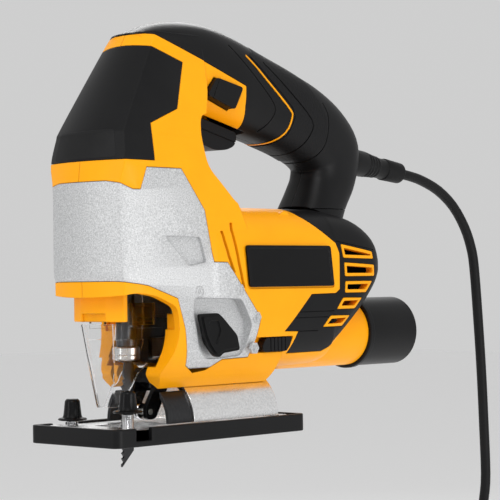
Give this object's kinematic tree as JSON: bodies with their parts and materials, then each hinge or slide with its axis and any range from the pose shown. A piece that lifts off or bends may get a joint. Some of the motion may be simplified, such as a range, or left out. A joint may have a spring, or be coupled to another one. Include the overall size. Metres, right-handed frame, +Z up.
{
  "type": "jigsaw power tool",
  "caption": "Corded jigsaw with a closed top handle, trigger, guarded blade with orbital roller, tilting sole and rear dust port.",
  "frame": {"origin": "centre of the sole's underside, in the plane of the blade", "axes": "+X to the rear, -X is the cutting direction, +Y to the operator's right, +Z up out of the work"},
  "size_m": [0.383, 0.0695, 0.4665],
  "materials": {
    "yellow_plastic": "amber yellow, fine satin texture",
    "soft_grip": "matte soft-touch over-mould",
    "black_plastic": "fine matte texture",
    "cast_aluminium": "bead-blasted casting",
    "brushed_steel": "plain bright steel",
    "dark_steel": "hardened, darkened steel",
    "copper": "copper windings",
    "brass": "drawn brass",
    "clear_plastic": "clear polycarbonate",
    "white_plastic": "moulded",
    "cord_rubber": "matte rubber sheath"
  },
  "bodies": {
    "tool": {"housing_left": "yellow_plastic", "housing_right": "yellow_plastic", "vent_grille_left": "yellow_plastic", "vent_grille_right": "yellow_plastic", "nose_cover": "yellow_plastic", "front_cover": "soft_grip", "handle_left": "soft_grip", "handle_right": "soft_grip", "rear_cover": "black_plastic", "chamber_liner": "black_plastic", "switch_body": "black_plastic", "dust_port": "black_plastic", "badge_plate": "black_plastic", "coil_tie": "black_plastic", "mains_plug": "black_plastic", "gear_housing": "cast_aluminium", "bearing_plate": "cast_aluminium", "front_bearing": "brushed_steel", "rear_bearing": "brushed_steel", "fork_pin": "brushed_steel", "housing_screw_1": "brushed_steel", "housing_screw_2": "brushed_steel", "housing_screw_3": "brushed_steel", "housing_screw_4": "brushed_steel", "handle_screw_5": "brushed_steel", "handle_screw_6": "brushed_steel", "motor_stator": "dark_steel", "gear_spindle": "dark_steel", "guide_pivot_pin": "dark_steel", "bevel_clamp_bolt": "dark_steel", "brush_holder_left": "brass", "brush_holder_right": "brass", "blade_guard": "clear_plastic", "suppressor": "white_plastic", "cord": "cord_rubber", "cord_tail": "cord_rubber", "cord_coil": "cord_rubber", "cord_boot": "cord_rubber"},
    "rotor": {"armature": "copper", "cooling_fan": "black_plastic"},
    "gear": {"crank_gear": "dark_steel"},
    "guide": {"plunger_guide": "dark_steel"},
    "plunger": {"plunger": "dark_steel", "blade_clamp": "dark_steel", "blade": "dark_steel"},
    "collar": {"clamp_collar": "brushed_steel"},
    "fork": {"roller_fork": "dark_steel", "roller_pin": "brushed_steel"},
    "roller": {"guide_roller": "brushed_steel"},
    "lever": {"pendulum_lever": "black_plastic"},
    "trigger": {"trigger": "black_plastic"},
    "lock": {"lock_button": "black_plastic"},
    "slider": {"blower_slider": "black_plastic"},
    "sole": {"sole_shoe": "black_plastic", "sole_plate": "brushed_steel", "bevel_saddle": "brushed_steel"},
    "fence_left": {"fence_screw_left": "black_plastic"},
    "fence_right": {"fence_screw_right": "black_plastic"}
  },
  "joints": [
    {"name": "rotor_spin", "type": "hinge", "parent": "tool", "child": "rotor", "pos_m": [0, 0, 0.09], "axis": [1, 0, 0], "continuous": true},
    {"name": "gear_spin", "type": "hinge", "parent": "tool", "child": "gear", "pos_m": [0, 0, 0.1162], "axis": [1, 0, 0], "continuous": true},
    {"name": "fork_swing", "type": "hinge", "parent": "tool", "child": "fork", "pos_m": [-0.016, 0, 0.034], "axis": [0, 1, 0], "range_deg": [0, 7]},
    {"name": "guide_swing", "type": "hinge", "parent": "tool", "child": "guide", "pos_m": [-0.0443, 0, 0.143], "axis": [0, 1, 0], "range_deg": [0, 1.1], "stiffness_Nm_per_rad": 0.5, "springref_deg": -3.44},
    {"name": "plunger_stroke", "type": "slide", "parent": "guide", "child": "plunger", "axis": [0, 0, 1], "range_m": [-0.009, 0.009]},
    {"name": "collar_twist", "type": "hinge", "parent": "plunger", "child": "collar", "pos_m": [-0.0337, 0, 0.047], "axis": [0, 0, 1], "range_deg": [0, 60], "stiffness_Nm_per_rad": 0.05, "springref_deg": -5.73},
    {"name": "roller_spin", "type": "hinge", "parent": "fork", "child": "roller", "pos_m": [-0.0245, 0, 0.0154], "axis": [0, 1, 0], "continuous": true},
    {"name": "pendulum_dial", "type": "hinge", "parent": "tool", "child": "lever", "pos_m": [0.0045, -0.032, 0.057], "axis": [0, 1, 0], "range_deg": [0, 117]},
    {"name": "trigger_pull", "type": "slide", "parent": "tool", "child": "trigger", "axis": [0.2402, 0, 0.9707], "range_m": [0, 0.005], "stiffness_N_per_m": 400, "springref_m": -0.004},
    {"name": "lock_press", "type": "slide", "parent": "tool", "child": "lock", "axis": [0, 1, 0], "range_m": [0, 0.003], "stiffness_N_per_m": 300, "springref_m": -0.002},
    {"name": "blower_shift", "type": "slide", "parent": "tool", "child": "slider", "axis": [-1, 0, 0], "range_m": [0, 0.006]},
    {"name": "bevel_tilt", "type": "hinge", "parent": "tool", "child": "sole", "pos_m": [0, 0, 0.0095], "axis": [1, 0, 0], "range_deg": [-20, 20]},
    {"name": "fence_screw_left_turn", "type": "hinge", "parent": "sole", "child": "fence_left", "pos_m": [-0.0534, -0.022, 0.015], "axis": [0, 0, 1], "continuous": true},
    {"name": "fence_screw_right_turn", "type": "hinge", "parent": "sole", "child": "fence_right", "pos_m": [-0.0534, 0.022, 0.015], "axis": [0, 0, 1], "continuous": true}
  ],
  "couplings": [
    {"joint": "gear_spin", "follows": "rotor_spin", "ratio": -0.21739},
    {"joint": "guide_swing", "follows": "fork_swing", "ratio": 0.1458}
  ]
}
